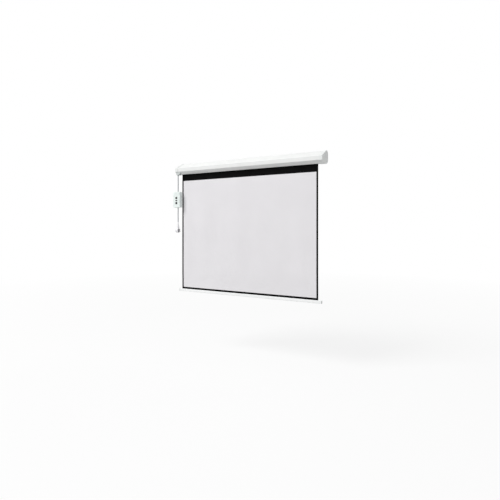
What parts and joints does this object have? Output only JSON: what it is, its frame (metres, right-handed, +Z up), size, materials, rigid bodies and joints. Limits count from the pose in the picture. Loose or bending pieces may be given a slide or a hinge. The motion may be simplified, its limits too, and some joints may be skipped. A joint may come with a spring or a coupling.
{
  "type": "motorized projector screen",
  "caption": "Wall-mounted motorized projector screen: sloped white case, black-bordered cloth, weight bar, and a switch box and plug on a hanging cord.",
  "frame": {"origin": "on the case's flat back face, where it meets the wall, halfway along the case and level with the roller's axis", "axes": "+X along the case to the viewer's right, +Y into the wall, +Z up"},
  "size_m": [1.3606, 0.1244, 1.1101],
  "materials": {
    "white_paint": "satin white powder coat",
    "cap_plastic": "fine-grained white moulding",
    "picture_cloth": "matt white coated cloth",
    "black_cloth": "matt black coated cloth",
    "white_bar": "satin white powder coat",
    "grey_plastic": "satin grey moulding",
    "box_plastic": "satin white moulding",
    "button_plastic": "satin dark grey moulding",
    "cord_sheath": "satin grey sheath",
    "plug_plastic": "semi-gloss white moulding",
    "dark_insert": "matt dark grey moulding",
    "zinc_steel": "bright zinc plate",
    "roller_aluminium": "drawn tube",
    "motor_steel": "satin steel tube",
    "black_plastic": "matt black moulding",
    "bush_plastic": "natural nylon",
    "board_green": "green solder mask",
    "relay_blue": "blue moulding",
    "terminal_green": "green moulding",
    "nickel": "nickel-plated brass"
  },
  "bodies": {
    "case": {"case_shell": "white_paint", "left_end_cap": "cap_plastic", "right_end_cap": "cap_plastic", "motor_bracket": "zinc_steel", "idler_bracket": "zinc_steel", "left_cap_screw_1": "zinc_steel", "left_cap_screw_2": "zinc_steel", "right_cap_screw_1": "zinc_steel", "right_cap_screw_2": "zinc_steel", "motor_head": "black_plastic", "motor_clip": "zinc_steel", "motor_tube": "motor_steel", "idler_bush": "bush_plastic", "screen_fabric": "picture_cloth", "black_border": "black_cloth", "switch_box_base": "box_plastic", "switch_box_lid": "box_plastic", "box_top_gland": "grey_plastic", "box_bottom_gland": "grey_plastic", "circuit_board": "board_green", "left_relay": "relay_blue", "right_relay": "relay_blue", "terminal_block": "terminal_green", "up_switch": "black_plastic", "stop_switch": "black_plastic", "down_switch": "black_plastic", "box_screw_1": "zinc_steel", "box_screw_2": "zinc_steel", "box_screw_3": "zinc_steel", "box_screw_4": "zinc_steel", "cord_gland": "grey_plastic", "motor_lead": "cord_sheath", "upper_cord": "cord_sheath", "lower_cord": "cord_sheath", "plug_relief": "plug_plastic", "plug_body": "plug_plastic", "plug_insert": "dark_insert", "upper_plug_pin": "nickel", "lower_plug_pin": "nickel"},
    "bar": {"weight_bar": "white_bar", "left_bar_cap": "grey_plastic", "right_bar_cap": "grey_plastic", "hem_rod": "bush_plastic", "ballast_rod": "zinc_steel"},
    "roller": {"roller_tube": "roller_aluminium", "roller_wrap": "black_cloth", "limit_crown": "black_plastic", "output_shaft": "zinc_steel", "drive_wheel": "black_plastic", "idler_plug": "black_plastic", "idler_pin": "zinc_steel"},
    "up_button": {"up_button": "button_plastic"},
    "stop_button": {"stop_button": "button_plastic"},
    "down_button": {"down_button": "button_plastic"}
  },
  "joints": [
    {"name": "screen_lift", "type": "slide", "parent": "case", "child": "bar", "axis": [0, 0, 1], "range_m": [0, 0.975], "deforming": ["screen_fabric", "black_border"]},
    {"name": "roller_turn", "type": "hinge", "parent": "case", "child": "roller", "pos_m": [0, -0.05305, 0], "axis": [-1, 0, 0], "range_deg": [0, 2160]},
    {"name": "up_press", "type": "slide", "parent": "case", "child": "up_button", "axis": [0, 1, 0], "range_m": [0, 0.0015], "stiffness_N_per_m": 400, "springref_m": -0.001},
    {"name": "stop_press", "type": "slide", "parent": "case", "child": "stop_button", "axis": [0, 1, 0], "range_m": [0, 0.0015], "stiffness_N_per_m": 400, "springref_m": -0.001},
    {"name": "down_press", "type": "slide", "parent": "case", "child": "down_button", "axis": [0, 1, 0], "range_m": [0, 0.0015], "stiffness_N_per_m": 400, "springref_m": -0.001}
  ],
  "couplings": [
    {"joint": "roller_turn", "follows": "screen_lift", "rad_per_m": 38.6}
  ]
}
